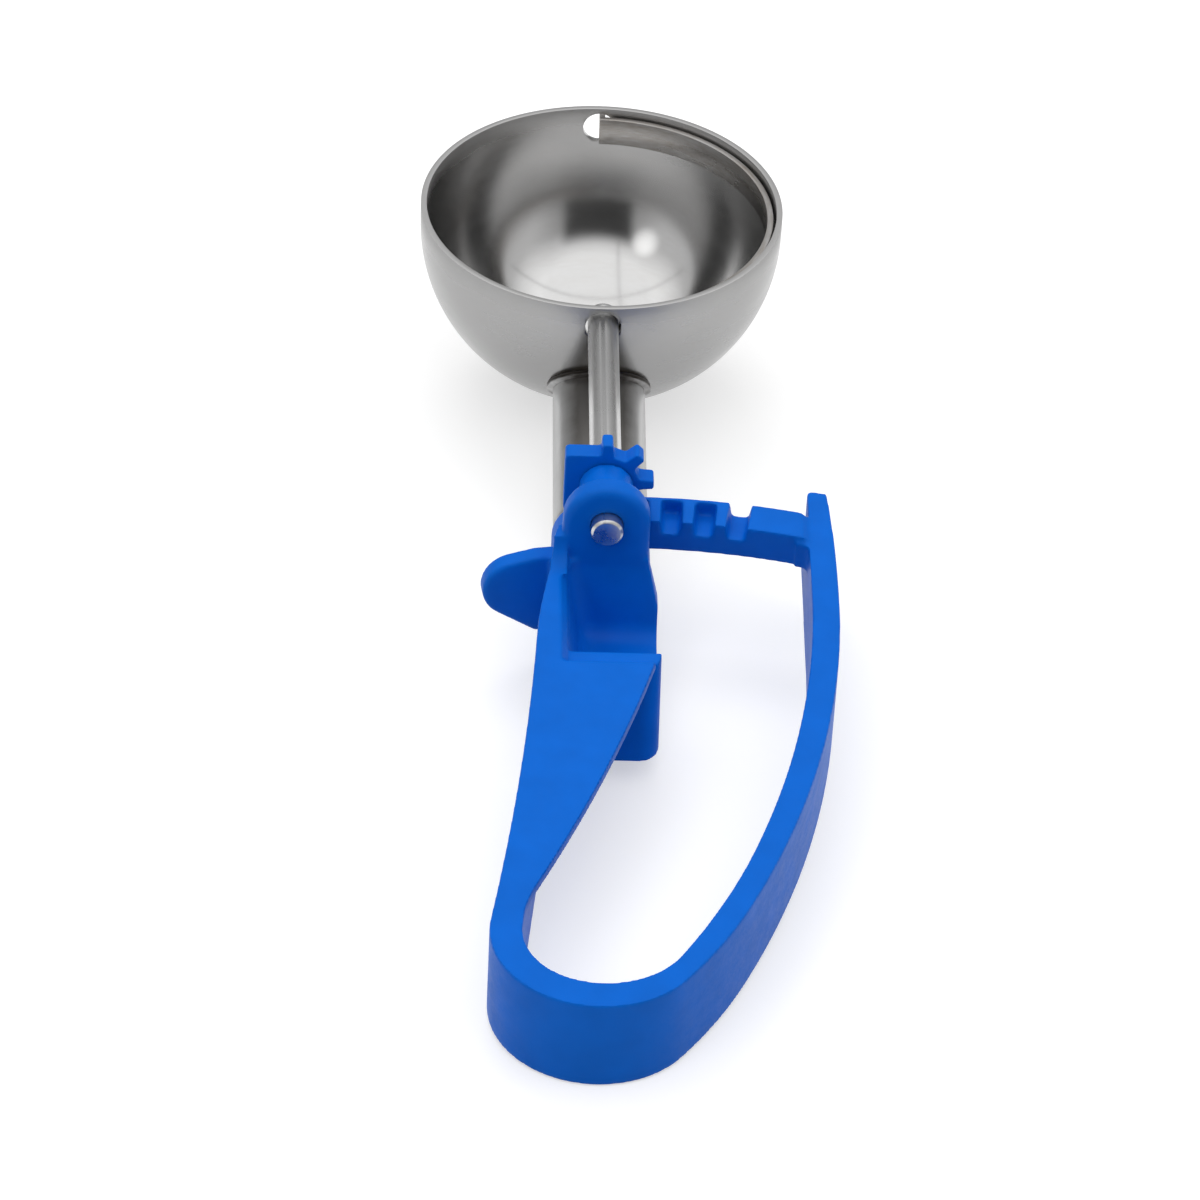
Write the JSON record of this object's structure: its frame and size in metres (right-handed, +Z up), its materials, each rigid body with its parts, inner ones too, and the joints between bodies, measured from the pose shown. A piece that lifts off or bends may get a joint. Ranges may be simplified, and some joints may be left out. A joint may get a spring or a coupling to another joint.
{
  "type": "ice cream scoop",
  "caption": "Squeeze-lever ice cream scoop: steel hemisphere bowl with a toothed lever that turns a sweep blade inside it.",
  "frame": {"origin": "centre of the hemispherical bowl, on the axis of the sweep blade's shaft", "axes": "+Y from the handle to the far side of the bowl along the shaft, +X towards the lever, +Z up out of the bowl"},
  "size_m": [0.0626, 0.2044, 0.0356],
  "materials": {
    "bowl_steel": "satin stainless steel",
    "neck_steel": "satin stainless steel",
    "blade_steel": "satin stainless strip",
    "rod_steel": "drawn stainless bar",
    "blue_plastic": "smooth satin moulding"
  },
  "bodies": {
    "scoop": {"bowl": "bowl_steel", "neck": "neck_steel", "handle_frame": "blue_plastic", "spring_bend": "blue_plastic"},
    "lever": {"squeeze_lever": "blue_plastic"},
    "blade": {"sweep_blade": "blade_steel", "rod": "rod_steel", "pinion": "blue_plastic"}
  },
  "joints": [
    {"name": "lever_squeeze", "type": "hinge", "parent": "scoop", "child": "lever", "pos_m": [0.005, -0.166, -0.0132], "axis": [0, 0, 1], "range_deg": [0, 11.55], "stiffness_Nm_per_rad": 2, "deforming": ["spring_bend"]},
    {"name": "blade_sweep", "type": "hinge", "parent": "scoop", "child": "blade", "pos_m": [0, 0, 0], "axis": [0, 1, 0], "range_deg": [0, 180.5]}
  ],
  "couplings": [
    {"joint": "blade_sweep", "follows": "lever_squeeze", "ratio": 15.582}
  ]
}
